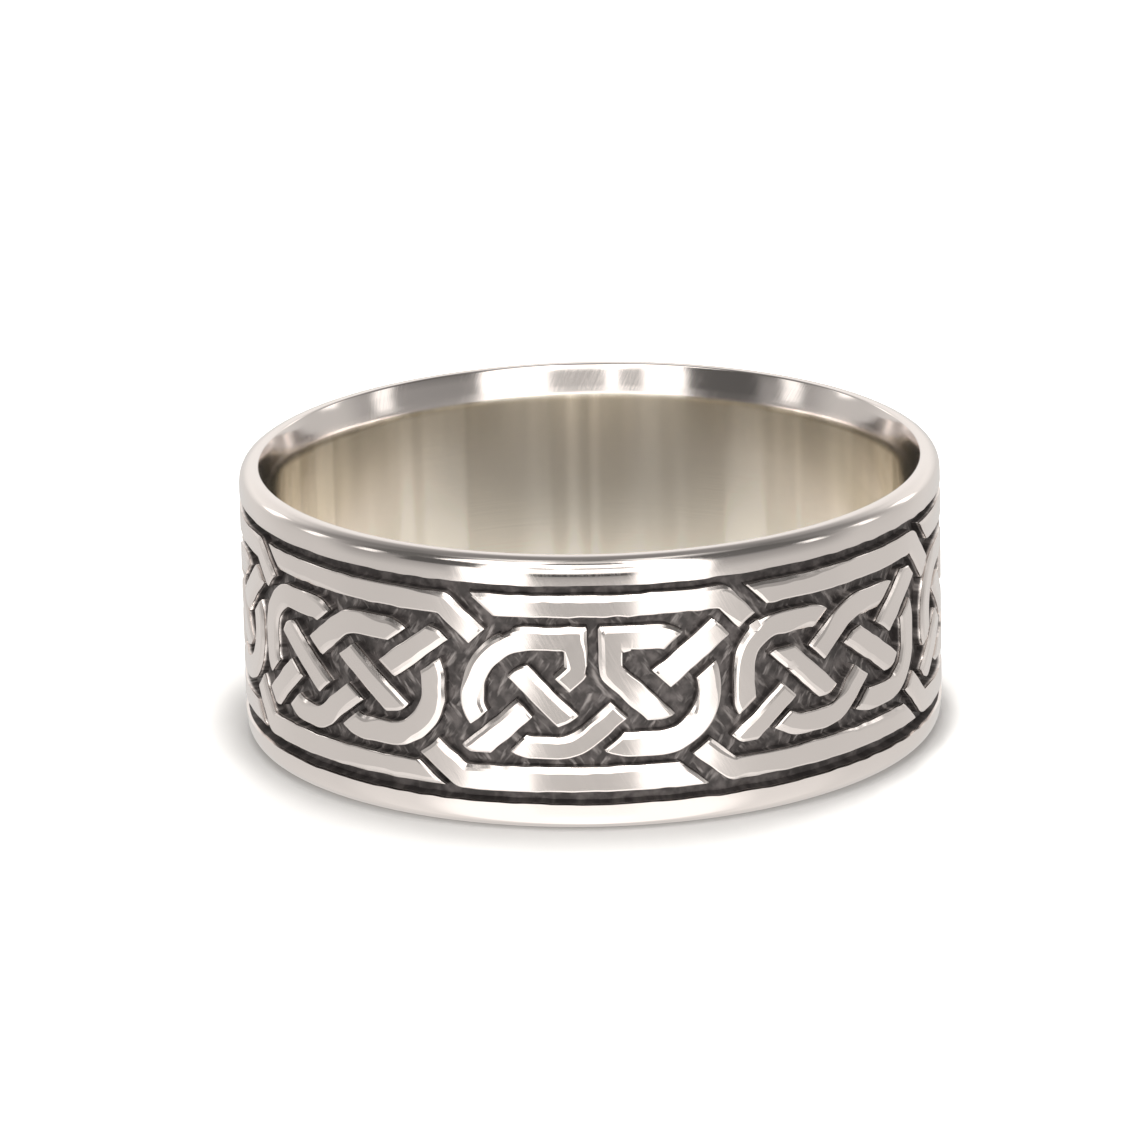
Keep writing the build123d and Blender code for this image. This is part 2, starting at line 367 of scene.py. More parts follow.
# %% Over and under
passes_over = {
    "loop": [("wave", 0), ("turned tie", 0)],
    "wave": [("bar", 0), ("tie", 0)],
    "tie": [("turned bar", 0), ("rail", 0)],
    "bar": [("loop", 0), ("turned wave", 0)],
    "rail": [("rail", -1), ("loop", 1)],
    "hook": [("bar", 0), ("turned tie", 0)],
    "crook": [("tie", 0), ("turned loop", 0)],
}
front_stand_ins = {"loop": "hook", "turned bar": "crook"}
panels = [regular_panel() for panel in range(panel_count)]
panels[0], panels[1], panels[-1] = front_panel, right_panel, left_panel


def strands_above(name):
    """The strands that a strand dives under at its first and last end."""
    if name in passes_over:
        return passes_over[name]
    return [(turned_name(above), -further) for above, further in passes_over[turned_name(name)]]


def chart_of(panel, name):
    """A strand's row in its panel's chart. Where the front panel lacks the strand, its stand-in is given."""
    chart = panels[panel % panel_count]
    return chart[name] if name in chart else chart[front_stand_ins[name]]


# %% [markdown]
# ## One strand as a surface
# A strand could be a curve with a bevel profile, but its ends have to follow the strand that it dives under,
# and its walls have to stay upright. So it is a grid as well. Each column of the grid is the strand's line
# shifted sideways, each row is a place along it, and the height comes from whichever is lower, the profile
# across the strand or the profile near its end. That mitres the worn edge neatly round every corner.

# %% Lines with round bends
smallest_bend = 0.05 * mm
bend_share = 0.98
no_length = 1e-12


def bent_lines(corners, offsets, step):
    """The line through the corners, shifted to its left by each offset, with a round bend at every corner.
    A corner moves along the mitre (n1 + n2) / (1 + n1.n2) of its two normals, and the bend's radius shrinks by
    the offset on the inside and grows on the outside. Two bends that need more than the run between them both
    shrink. The result has one row for each place along the line and one column for each offset."""
    flat = np.array([(along, up) for along, up, _ in corners]) * mm
    heading = np.diff(flat, axis=0)
    heading /= np.linalg.norm(heading, axis=1)[:, None]
    normal = np.stack([-heading[:, 1], heading[:, 0]], axis=1)
    before = np.concatenate([normal[:1], normal])
    after = np.concatenate([normal, normal[-1:]])
    mitre = (before + after) / (1 + (before * after).sum(1))[:, None]
    moved = flat[:, None, :] + offsets[None, :, None] * mitre[:, None, :]
    cross = heading[:-1, 0] * heading[1:, 1] - heading[:-1, 1] * heading[1:, 0]
    turn = np.concatenate([[0], np.arctan2(cross, (heading[:-1] * heading[1:]).sum(1)), [0]])
    wanted = np.array([bend for _, _, bend in corners]) * mm
    radii = np.maximum(wanted[:, None] - np.sign(turn)[:, None] * offsets, smallest_bend)
    radii[[0, -1]] = 0
    taken = radii * np.tan(np.abs(turn) / 2)[:, None]
    length = np.linalg.norm(np.diff(moved, axis=0), axis=2)
    room = np.minimum(1, bend_share * length / np.maximum(taken[:-1] + taken[1:], no_length))
    radii[1:-1] *= np.minimum(room[:-1], room[1:])
    taken = radii * np.tan(np.abs(turn) / 2)[:, None]
    rows = [moved[:1]]
    for i in range(1, len(flat)):
        start = rows[-1][-1]
        end = moved[i] - heading[i - 1] * taken[i][:, None]
        steps = max(int(np.linalg.norm(end - start, axis=1).mean() / step), 1)
        share = np.linspace(0, 1, steps + 1)[1:, None, None]
        rows.append(start + (end - start) * share)
        if i < len(flat) - 1:
            side = np.sign(turn[i])
            centre = end + side * radii[i][:, None] * normal[i - 1]
            steps = max(int(radii[i].max() * abs(turn[i]) / step), 3)
            angle = turn[i] * np.linspace(0, 1, steps + 1)[1:, None, None]
            spoke = end - centre
            quarter = np.stack([-spoke[:, 1], spoke[:, 0]], axis=1)
            rows.append(centre + spoke * np.cos(angle) + quarter * np.sin(angle))
    return np.concatenate(rows)


def distance_to(points, path):
    """The distance from each point to a line of short straight pieces: the least over all the pieces of the
    distance to the nearest point of that piece."""
    start, piece = path[:-1], np.diff(path, axis=0)
    away = points[..., None, :] - start
    share = np.clip((away * piece).sum(-1) / (piece * piece).sum(-1), 0, 1)
    return np.linalg.norm(away - share[..., None] * piece, axis=-1).min(-1)


def lengths_along(lines):
    """The length from the first row to each row of every column."""
    piece = np.linalg.norm(np.diff(lines, axis=0), axis=2)
    return np.concatenate([np.zeros((1, lines.shape[1])), np.cumsum(piece, axis=0)])


def first_clear(gap, length, wanted):
    """For each column the length at which the distance to the strand above first reaches wanted, found by
    straight interpolation between two rows. A column that starts clear isn't cut."""
    reached = gap >= wanted
    row = np.maximum(np.argmax(reached, axis=0), 1)
    column = np.arange(gap.shape[1])
    low, high = gap[row - 1, column], gap[row, column]
    share = np.clip((wanted - low) / np.where(high == low, 1, high - low), 0, 1)
    cut = length[row - 1, column] + share * (length[row, column] - length[row - 1, column])
    return np.where(reached[0], 0, cut)


# %% [markdown]
# ## The worn edge
# The file leaves a narrow facet along the edges of a strand. Two strips make it, one at 12 degrees and one at
# 28, so that it catches light from a wider part of the room than one flat strip would. It is widest on the
# upper edges at the front of the ring and on the edges that face the front, and elsewhere hardly shows.

# %% The worn edge
station_step = 0.085 * mm
top_columns = 4
worn_width = 0.19 * mm
worn_slopes = (12, 28)
end_wear = 0.5
least_wear = 0.22
front_reach = (3.9 * mm, 4.7 * mm)
upward_wear = (-0.25, 0.4)
frontward_wear = (0.2, 0.6)
foot_spread = 0.04 * mm
foot_depth = 0.12 * mm
root_depth = 0.2 * mm

worn_drops = np.cumsum([worn_width / 2 * np.tan(radians(slope)) for slope in worn_slopes])
edge_profile = np.array([-carving_depth - foot_depth, -worn_drops[1], -worn_drops[0]])


def wear_of(flat, panel):
    """How wide the facet is along both edges of a strand, from 0 to 1, as one column for each edge. It goes by
    the direction from the strand's middle to its edge: at the front by how far that points up, and beside the
    front by how far it points back to the front."""
    edges = flat[:, [1, -2]]
    away = edges - flat.mean(axis=1, keepdims=True)
    away /= np.linalg.norm(away, axis=2, keepdims=True)
    place = from_front(edges[..., 0] + panel * panel_length)
    beside = ease(np.abs(place), *front_reach)
    in_front = least_wear + (1 - least_wear) * ease(away[..., 1], *upward_wear)
    toward_front = -np.sign(place) * away[..., 0]
    at_side = least_wear + (1 - least_wear) * ease(toward_front, *frontward_wear)
    return in_front * (1 - beside) + at_side * beside


# %% A strand's grid
def strand_grid(panel, name):
    """A strand's flat points and their height over the outer radius, as grids with one row for each place
    along it and one column for each place across it: foot, edge, facet, four on the top, facet, edge, foot."""
    width, first_gap, last_gap, corners = chart_of(panel, name)
    half = width * mm / 2
    top = np.linspace(worn_width - half, half - worn_width, top_columns)
    side = np.array([half + foot_spread, half, half - worn_width / 2])
    offsets = np.concatenate([-side, top, side[::-1]])
    fine = bent_lines(corners, offsets, station_step / 3)
    length = lengths_along(fine)
    ends = []
    for first, (above, further), gap in zip((True, False), strands_above(name), (first_gap, last_gap)):
        above_width, _, _, above_corners = chart_of(panel + further, above)
        path = bent_lines(above_corners, np.zeros(1), station_step)[:, 0] + (further * panel_length, 0)
        room = distance_to(fine, path) - (above_width / 2 + gap) * mm
        order = slice(None) if first else slice(None, None, -1)
        flow = length if first else length[-1] - length
        wanted = (-foot_spread, 0, end_wear * worn_width / 2, end_wear * worn_width)
        cuts = np.array([first_clear(room[order], flow[order], distance) for distance in wanted])
        ends.append(cuts if first else length[-1] - cuts)
    start, end = ends
    body = max(int((end[3] - start[3]).mean() / station_step), 2)
    share = np.linspace(0, 1, body + 1)[:, None]
    places = np.concatenate([start[:3], start[3] * (1 - share) + end[3] * share, end[2::-1]])
    columns = range(len(offsets))
    flat = np.stack([np.stack([np.interp(places[:, c], length[:, c], fine[:, c, k]) for c in columns], axis=1)
                     for k in (0, 1)], axis=-1)
    return worn_strand(flat, wear_of(flat, panel))


def worn_strand(flat, wear):
    """The grid with its facets narrowed to their wear, and its heights. The facet's inner points move towards
    the edge by 1 - wear, and its drop shrinks by as much, so its slope stays."""
    lower, upper = wear[:, [0]], wear[:, [1]]
    for edge, inner, share in ((1, (2, 3), lower), (-2, (-3, -4), upper)):
        for column in inner:
            flat[:, column] = flat[:, edge] + (flat[:, column] - flat[:, edge]) * share
    middle = np.zeros((len(flat), top_columns))
    foot = np.full((len(flat), 1), edge_profile[0])
    rising, falling = edge_profile[1:] * lower, edge_profile[:0:-1] * upper
    across = np.concatenate([foot, rising, middle, falling, foot], axis=1)
    end_profile = np.concatenate([edge_profile[:1], edge_profile[1:] * end_wear])
    heights = np.concatenate([end_profile, np.zeros(len(flat) - 2 * len(end_profile)), end_profile[::-1]])
    return flat, np.minimum(heights[:, None], across)


# %% [markdown]
# ## Marks of the hand
# The edges of cut metal waver by a few hundredths of a millimetre, and here and there the graver slipped and
# left a nick. Both are small moves of the flat points before they are wrapped round the band. A nick pushes
# the edge away from its own middle, which lies just off the edge.

# %% Marks of the hand
waver = 0.022 * mm
waver_cells = (190, 24)
waver_seeds = (11, 12)
nick_push = 0.9
# The columns are along from the front, up from the band's middle, and radius, in millimetres.
nicks = [
    (-2.68, 2.02, 0.24),
    (-0.12, 0.76, 0.17),
    (0.99, 1.45, 0.16),
    (6.30, 0.26, 0.16),
    (5.05, 1.72, 0.2),
    (10.62, -0.02, 0.14),
]


def hand_marked(flat):
    """The points with a smooth random waver of the edges, and with the nicks."""
    around = flat[..., 0] / once_round + 0.5
    across = flat[..., 1] / band_width + 0.5
    sideways, upwards = [uneven(around, across, waver_cells, seed) for seed in waver_seeds]
    moved = flat + waver * np.stack([sideways, upwards], axis=-1)
    for along, up, radius in nicks:
        away = moved - np.array([along, up]) * mm
        distance = np.linalg.norm(away, axis=-1, keepdims=True)
        moved += nick_push * np.maximum(radius * mm - distance, 0) * away / distance
    return moved


# %% [markdown]
# ## All strands in one piece
# Each strand's grid is closed underneath by two more columns inside the band's metal, and at both ends by one
# flat face there.

# %% The knotwork
bright_depth = 0.08 * mm
fade_depth = 0.1 * mm


def closed_strand(panel, name):
    """Points, faces and tarnish of one strand, closed all round."""
    flat, raised = strand_grid(panel, name)
    flat = flat + (panel * panel_length, 0)
    flat[..., 0] = from_front(flat[..., 0])
    flat = hand_marked(flat)
    flat = np.concatenate([flat, flat[:, [-1, 0]]], axis=1)
    root = np.full((len(flat), 2), -carving_depth - root_depth)
    raised = np.concatenate([raised, root], axis=1)
    points = wrap(flat[..., 0], flat[..., 1] + middle_height, outer_radius + raised)
    rows, columns = raised.shape
    faces = grid_faces(rows, columns, False, True).tolist()
    faces.append(list(range(columns)))
    faces.append(list(range((rows - 1) * columns, rows * columns))[::-1])
    tarnish = np.clip((-raised - bright_depth) / fade_depth, 0, 1)
    return points.reshape(-1, 3), faces, tarnish.ravel()


all_points, all_faces, all_tarnish, count = [], [], [], 0
for panel in range(panel_count):
    for name in panels[panel]:
        points, faces, tarnish = closed_strand(panel, name)
        all_points.append(points)
        all_faces += [[corner + count for corner in face] for face in faces]
        all_tarnish.append(tarnish)
        count += len(points)
knot_points, knot_tarnish = np.concatenate(all_points), np.concatenate(all_tarnish)
knot = new_piece("knotwork", knot_points, all_faces, knot_tarnish, sharp_angle=9)

# %% [markdown]
# ## The finish
# Oxidised silver has two faces: bright metal where it was polished, and a dull black skin in the ground. One
# material shows both and mixes them by the tarnish attribute. The bore has its own material, because it was
# finished with a brush that ran round the ring, and such lines spread every highlight upright.

# %% Node helpers
def new_group(name, inputs, outputs):
    """An empty shader node group with named sockets. Each entry is a name and a socket type, and for an input
    its default."""
    group = bpy.data.node_groups.new(name, "ShaderNodeTree")
    for title, kind, default in inputs:
        socket = group.interface.new_socket(title, in_out="INPUT", socket_type=kind)
        socket.default_value = default
    for title, kind in outputs:
        group.interface.new_socket(title, in_out="OUTPUT", socket_type=kind)
    return group


def fill(tree, socket, value):
    """Joins an input to the value where that is a socket, and otherwise makes it the input's own value."""
    if isinstance(value, bpy.types.NodeSocket):
        tree.links.new(value, socket)
    else:
        socket.default_value = value


def add(tree, kind, links=None, **settings):
    """A new node. Settings are its properties, and links fills its inputs by name or by number."""
    node = tree.nodes.new(kind)
    for title, value in settings.items():
        setattr(node, title, value)
    for title, value in (links or {}).items():
        fill(tree, node.inputs[title], value)
    return node


def use_group(tree, group, links=None):
    """The outputs of a new node that holds the group."""
    return add(tree, "ShaderNodeGroup", links, node_tree=group).outputs


def calculate(tree, operation, *values, clamp=False):
    """The output of a Math node."""
    links = dict(enumerate(values))
    return add(tree, "ShaderNodeMath", links, operation=operation, use_clamp=clamp).outputs[0]


def product(tree, first, *others):
    """All the factors multiplied, one after another."""
    for factor in others:
        first = calculate(tree, "MULTIPLY", first, factor)
    return first


def split(tree, place):
    """The x, y and z of a vector."""
    return add(tree, "ShaderNodeSeparateXYZ", {"Vector": place}).outputs


def turn_from_front(tree, x, y):
    """The angle about the Z axis from the front (-Y) to the right: atan2(x, -y)."""
    return calculate(tree, "ARCTAN2", x, product(tree, y, -1.0))


def smooth_range(tree, value, low, high, to_low=0.0, to_high=1.0):
    """The output of a Map Range node that eases in and out between two values."""
    links = {"Value": value, "From Min": low, "From Max": high, "To Min": to_low, "To Max": to_high}
    node = add(tree, "ShaderNodeMapRange", links, interpolation_type="SMOOTHSTEP")
    return node.outputs["Result"]


def noise(tree, place, scale, detail):
    """The value of a Noise Texture."""
    links = {"Vector": place, "Scale": scale, "Detail": detail}
    return add(tree, "ShaderNodeTexNoise", links).outputs["Fac"]


def blend(tree, factor, first, second):
    """A number or a colour that goes from first to second as factor goes from 0 to 1."""
    given = (first, second)
    is_colour = any(isinstance(value, tuple) or getattr(value, "type", "") == "RGBA" for value in given)
    node = add(tree, "ShaderNodeMix", data_type="RGBA" if is_colour else "FLOAT")
    enabled = [socket for socket in node.inputs if socket.enabled]
    for socket, value in zip(enabled, (factor, first, second)):
        fill(tree, socket, value)
    return next(socket for socket in node.outputs if socket.enabled)


# %% [markdown]
# ## A place on the ring for the patterns
# Brush lines and tool strokes follow the band, so the materials need to know how far round and how far up a
# point lies. A node group works that out from Object coordinates, in millimetres. Its angle jumps at the back
# of the ring, so it also gives a fade that takes the patterns away in the last millimetre on either side.

# %% Groups for both materials
seam_fade = 0.1


def ring_place_group():
    """Place = (angle x radius, height, 0) in millimetres, Edge = the height over or under the band's middle,
    and Fade = 1 but for the seam at the back."""
    outputs = [("Place", "NodeSocketVector"), ("Edge", "NodeSocketFloat"), ("Fade", "NodeSocketFloat")]
    group = new_group("place on the ring", [], outputs)
    x, y, z = split(group, add(group, "ShaderNodeTexCoord").outputs["Object"])
    angle = turn_from_front(group, x, y)
    round_it = product(group, angle, outer_radius / mm)
    up_it = product(group, calculate(group, "SUBTRACT", z, middle_height), 1 / mm)
    place = add(group, "ShaderNodeCombineXYZ", {"X": round_it, "Y": up_it}).outputs[0]
    fade = smooth_range(group, calculate(group, "ABSOLUTE", angle), pi - seam_fade, pi, 1.0, 0.0)
    edge = calculate(group, "ABSOLUTE", up_it)
    add(group, "NodeGroupOutput", {"Place": place, "Edge": edge, "Fade": fade})
    return group


def fine_lines_group():
    """Long thin random lines in one direction: noise on a plane that is stretched by Length one way and by
    Width the other, after a turn by Angle."""
    numbers = {"Angle": 0.0, "Length": 3.0, "Width": 0.05, "Detail": 2.0}
    inputs = [("Place", "NodeSocketVector", (0, 0, 0))]
    inputs += [(title, "NodeSocketFloat", default) for title, default in numbers.items()]
    group = new_group("fine lines", inputs, [("Lines", "NodeSocketFloat")])
    given = add(group, "NodeGroupInput").outputs
    turn = {"Vector": given["Place"], "Angle": given["Angle"]}
    x, y, _ = split(group, add(group, "ShaderNodeVectorRotate", turn, rotation_type="Z_AXIS").outputs[0])
    x = calculate(group, "DIVIDE", x, given["Length"])
    y = calculate(group, "DIVIDE", y, given["Width"])
    stretched = add(group, "ShaderNodeCombineXYZ", {"X": x, "Y": y, "Z": given["Angle"]}).outputs[0]
    add(group, "NodeGroupOutput", {"Lines": noise(group, stretched, 1.0, given["Detail"])})
    return group


ring_place = ring_place_group()
fine_lines = fine_lines_group()


def lines(tree, place, angle, length, width, detail=2.0):
    """The fine lines at a place, in a group node of their own."""
    sizes = {"Place": place, "Angle": angle, "Length": length, "Width": width, "Detail": detail}
    return use_group(tree, fine_lines, sizes)["Lines"]


# %% [markdown]
# ## The silver outside
# The ground was cleared with small strokes of a graver in changing directions, and each stroke left a lighter
# streak in the black. Two sets of lines, each shown only in its own patches, stand for them. The bright
# faces get far finer scratches, a slight waver like that of all hand-polished metal, and a smoother rim.

# %% Helpers for materials
def new_material(name):
    """A material with an empty node tree, and that tree."""
    material = bpy.data.materials.new(name)
    material.use_nodes = True
    material.node_tree.nodes.clear()
    return material, material.node_tree


def close_material(tree, inputs):
    """A Principled shader with the given inputs, joined to the output."""
    shader = add(tree, "ShaderNodeBsdfPrincipled", inputs).outputs["BSDF"]
    add(tree, "ShaderNodeOutputMaterial", {"Surface": shader})


def bumped(tree, height):
    """The normal of a surface with a height laid on it, in metres."""
    return add(tree, "ShaderNodeBump", {"Height": height, "Strength": 1.0, "Distance": 1.0}).outputs["Normal"]


# %% The silver outside
bright_metal = (0.925, 0.858, 0.822, 1)
darkest_ground = (0.078, 0.069, 0.067, 1)
lighter_ground = (0.18, 0.160, 0.155, 1)
stroke_colour = (0.42, 0.383, 0.370, 1)
stroke_angles = (0.9, -1.0)
stroke_height = 0.022 * mm
waver_height = 0.0016 * mm
scratch_height = 0.00035 * mm
rim_start, groove_start = 3.5, field_half / mm
face_roughness, rim_roughness, ground_roughness = 0.15, 0.09, 0.46
ground_metallic = 0.55


def tool_strokes(tree, place, edge):
    """Streaks in two directions, one where a broad noise is low and one where it is high, and none in the
    grooves."""
    chosen = smooth_range(tree, noise(tree, place, 0.9, 0.0), 0.47, 0.53)
    first, second = [lines(tree, place, angle, 0.7, 0.2) for angle in stroke_angles]
    streaks = smooth_range(tree, blend(tree, chosen, first, second), 0.48, 0.76)
    return product(tree, streaks, smooth_range(tree, edge, groove_start - 0.1, groove_start + 0.1, 1.0, 0.0))


def outer_silver():
    """Bright silver that is blackened where the tarnish attribute is high."""
    material, tree = new_material("oxidised_silver")
    spot = use_group(tree, ring_place)
    place, edge, fade = spot["Place"], spot["Edge"], spot["Fade"]
    tarnish = add(tree, "ShaderNodeAttribute", attribute_name="tarnish").outputs["Fac"]
    black = smooth_range(tree, tarnish, 0.05, 0.35)
    strokes = product(tree, tool_strokes(tree, place, edge), fade)
    mottle = noise(tree, place, 2.6, 3.0)
    dark = blend(tree, smooth_range(tree, mottle, 0.38, 0.7), darkest_ground, lighter_ground)
    colour = blend(tree, black, bright_metal, blend(tree, strokes, dark, stroke_colour))

    scratches = lines(tree, place, 1.1, 1.4, 0.035)
    on_rim = smooth_range(tree, edge, rim_start, rim_start + 0.15)
    uneven_gloss = smooth_range(tree, scratches, 0.35, 0.75, 0.0, 0.07)
    polished = calculate(tree, "ADD", blend(tree, on_rim, face_roughness, rim_roughness), uneven_gloss)
    waves = product(tree, noise(tree, place, 1.1, 0.0), waver_height)
    face_height = calculate(tree, "ADD", waves, product(tree, scratches, fade, scratch_height))
    ground_height = product(tree, calculate(tree, "ADD", strokes, mottle), stroke_height)
    close_material(tree, {
        "Base Color": colour,
        "Roughness": blend(tree, black, polished, ground_roughness),
        "Metallic": smooth_range(tree, black, 0.0, 1.0, 1.0, ground_metallic),
        "Normal": bumped(tree, blend(tree, black, face_height, ground_height)),
    })
    return material


# %% [markdown]
# ## The silver of the bore
# Brush lines too fine to see one by one make the metal rough across them and smooth along them. The shader's
# anisotropy does that, with its direction taken round the Z axis. A few coarser lines show as bump. Broad
# upright streaks of lighter colour are painted highlights.

# %% The silver of the bore
dull_bore = (0.78, 0.725, 0.635, 1)
# The colour below is that of the painted highlight streaks in the bore.
bore_painted_highlight = (0.95, 0.90, 0.81, 1)
brush_height = 0.0006 * mm
bore_roughness = 0.17
brushed, quarter_turn = 0.9, 0.25
bore_tolerance = 0.03 * mm


def bore_silver():
    """Satin silver, brushed round the ring. Broad upright streaks of lighter colour are painted highlights."""
    material, tree = new_material("satin_bore")
    spot = use_group(tree, ring_place)
    brush_lines = lines(tree, spot["Place"], 0.0, 9.0, 0.06)
    # Painted highlights: broad upright streaks that blend the colour towards the lighter bore colour.
    streaks = lines(tree, spot["Place"], pi / 2, 14.0, 0.6, 0.0)
    close_material(tree, {
        "Base Color": blend(tree, smooth_range(tree, streaks, 0.35, 0.7), dull_bore, bore_painted_highlight),
        "Metallic": 1.0,
        "Roughness": bore_roughness,
        "Anisotropic": brushed,
        "Anisotropic Rotation": quarter_turn,
        "Tangent": add(tree, "ShaderNodeTangent", direction_type="RADIAL", axis="Z").outputs[0],
        "Normal": bumped(tree, product(tree, brush_lines, spot["Fade"], brush_height)),
    })
    return material


silver = outer_silver()
bore_metal = bore_silver()
for piece in (band, knot):
    piece.data.materials.append(silver)
    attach(piece, "root")
    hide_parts("band")
band.data.materials.append(bore_metal)
bore_rows = np.abs(profile[:, 0] - bore_radius) < bore_tolerance
bore_strip = bore_rows & np.roll(bore_rows, -1)
band.data.polygons.foreach_set("material_index", np.tile(bore_strip, band_columns).astype("i"))
print(f"strips of the profile with the bore's finish: {bore_strip.sum()}")

# %% [markdown]
# ## The surface that it stands on
# A plain white sheet. The camera sees it with a colour brighter than white, so it is overexposed, as a
# photographer does for a clean white ground, and only the soft shadow close to the ring is left. That shadow
# is partly cast by the ring and partly painted: the sheet's own ambient occlusion, which is how much of the
# near
# surroundings a point of it can't see, darkens the colour that the camera sees, as narrow as it has to be:
# widest in front of the ring and narrowest at its right. The silver doesn't see the sheet: it sees the lower
# half of the room, which is painted with the light. Inside the ring that would be too bright, because little
# light falls in there. So a grey disc of painted shade lies in the bore, and only the silver sees it. Its
# colour is painted darkest behind the ring's front wall.

# %% The floor
sheet_corners = 96


def round_sheet(name, radius, height):
    """A flat round stage piece with one face."""
    angle = np.linspace(0, 2 * pi, sheet_corners, endpoint=False)
    corners = np.stack([radius * np.cos(angle), radius * np.sin(angle), height + 0 * angle], axis=1)
    mesh = bpy.data.meshes.new(name)
    mesh.from_pydata(corners.tolist(), [], [list(range(sheet_corners))])
    sheet = new_object(name, mesh)
    return sheet


def for_camera(tree, unseen, seen):
    """A shader that is seen to the camera, and unseen to every other ray."""
    ray = add(tree, "ShaderNodeLightPath").outputs["Is Camera Ray"]
    return add(tree, "ShaderNodeMixShader", {0: ray, 1: unseen, 2: seen}).outputs[0]


def paper(name, lit, seen):
    """A matt material with one brightness for the light that bounces off it and one for the camera. Each is a
    number, or a function that works it out from x and y."""
    material, tree = new_material(name)
    x, y, _ = split(tree, add(tree, "ShaderNodeTexCoord").outputs["Object"])
    matt = []
    for level in (lit, seen):
        level = level(tree, x, y) if callable(level) else level
        shade = add(tree, "ShaderNodeCombineColor", {"Red": level, "Green": level, "Blue": level}).outputs[0]
        matt.append(add(tree, "ShaderNodeBsdfDiffuse", {"Color": shade}).outputs[0])
    add(tree, "ShaderNodeOutputMaterial", {"Surface": for_camera(tree, *matt)})
    return material


# %% The shadow and the shade
shadow_reach = 3.0 * mm
share_at_right, share_in_front = 0.45, 2.0
shadow_samples = 6
# The sheet's colour in its painted shadow and in the open.
deepest_painted_shadow, open_sheet = 0.65, 2.4
sheet_light = 0.8
# The disc's painted shade in the bore, darkest at the front and brightest at the back.
darkest_in_bore, lightest_in_bore = 0.5, 1.6


def painted_contact_shadow(tree, x, y):
    """A painted shadow: the sheet's brightness to the camera goes by how open its surroundings are, up to the
    shadow's reach. The reach shrinks towards the right and grows towards the front."""
    sideways = smooth_range(tree, x, 0.2 * outer_radius, outer_radius, 1.0, share_at_right)
    forward = smooth_range(tree, y, -outer_radius, -0.3 * outer_radius, share_in_front, 1.0)
    reach = product(tree, sideways, forward, shadow_reach)
    nearby = add(tree, "ShaderNodeAmbientOcclusion", {"Distance": reach}, samples=shadow_samples)
    return smooth_range(tree, nearby.outputs["AO"], 0.45, 0.97, deepest_painted_shadow, open_sheet)


def light_in_bore(tree, _, y):
    """Painted shade: the disc's colour to the silver rises from front to back, darkest behind the front wall.
    """
    return smooth_range(tree, y, -0.5 * bore_radius, 0.35 * bore_radius, darkest_in_bore, lightest_in_bore)


floor = round_sheet("floor", 5 * outer_radius, 0)
floor.data.materials.append(paper("white_sheet", sheet_light, painted_contact_shadow))
floor.visible_glossy = False

# A disc of painted shade that only the silver sees.
disc = round_sheet("shade_in_the_bore", bore_radius, 0.02 * mm)
disc.data.materials.append(paper("shaded_sheet", light_in_bore, sheet_light))
disc.visible_camera = disc.visible_diffuse = disc.visible_shadow = False

# %% [markdown]
# ## The light
# Polished silver has no colour of its own to show: it is a mirror, and what one sees on it is the room. So
# the room is drawn with care, as a world that is light or dark by direction. It has five zones side by side,
# and each is a ramp of brightness by elevation, from the floor up to the ceiling: the camera's side between
# two windows, the windows, a near and a far part of the side walls, and the white sweep behind the ring.
# Three patches lie over them: a dark screen beside the left window, more window over that screen, and a light
# table low in front. Small lamps come last. Azimuth counts from the front to the right.

# %% The room
brightest = 2.5
lowest, highest = -40, 90
# Each row of a zone is an elevation in degrees and the brightness there.
zones = {
    "camera's side": [(-40, 1.3), (-23, 1.1), (-18.5, 0.42), (-14, 0.40), (-12, 0.03), (-7, 0.03), (-5, 1.7),
                      (10, 1.7), (12, 0.5), (22, 0.5), (24, 1.7), (46, 1.7), (50, 0.1), (58, 0.1), (62, 0.7),
                      (76, 0.7), (82, 0.2), (90, 0.2)],
    "windows": [(-40, 1.7), (68, 1.7), (76, 0.25), (90, 0.2)],
    "near side": [(-40, 0.85), (-23, 0.80), (-18, 0.58), (-4, 0.38), (14, 0.30), (26, 0.14), (58, 0.12),
                  (68, 0.5), (74, 1.1), (82, 1.1), (88, 0.2)],
    "far side": [(-40, 0.75), (-23, 0.70), (-18, 0.62), (0, 0.58), (12, 0.52), (24, 0.40), (36, 0.26),
                 (60, 0.17), (76, 0.3), (90, 0.2)],
    "sweep behind": [(-40, 0.68), (0, 0.72), (16, 0.95), (32, 0.85), (45, 0.40), (60, 0.25), (90, 0.2)],
}
# The azimuths over which one side zone turns into the next. A span is from, to and softness.
near_to_far, far_to_behind = (80, 98), (112, 142)
windows_span, camera_span = (-43, 39, 4), (-20.5, 14, 3)
# A patch has its span of azimuths, its span of elevations and its brightness.
patches = {
    "window over the screen": ((-58, -40, 3), (38, 64, 5), 1.75),
    "screen": ((-64, -36, 4), (2, 34, 8), 0.1),
    "table": ((-56, 50, 18), (-100, -22, 4), 1.25),
}
# A lamp's columns are azimuth, half its width, elevation from and to, and brightness. Those of the side lamps
# stand on both sides.
side_lamps = [(azimuth, 4, 10, 26, 1.0) for azimuth in (78, 103, 129)]
front_lamps = [(-9, 2, 11, 22, 1.5), (-11, 2, 24, 44, 5.0), (14.5, 2, 24, 44, 5.0)]
lamp_softness = 3


# %% Drawing the room
def between(tree, value, low, high, soft):
    """1 from low to high and 0 outside, eased over a stretch of soft at each end."""
    rise = smooth_range(tree, value, low - soft / 2, low + soft / 2)
    return product(tree, rise, smooth_range(tree, value, high - soft / 2, high + soft / 2, 1.0, 0.0))


def inside(tree, azimuth, elevation, across, up):
    """1 in a rectangle of directions and 0 outside it."""
    return product(tree, between(tree, azimuth, *across), between(tree, elevation, *up))


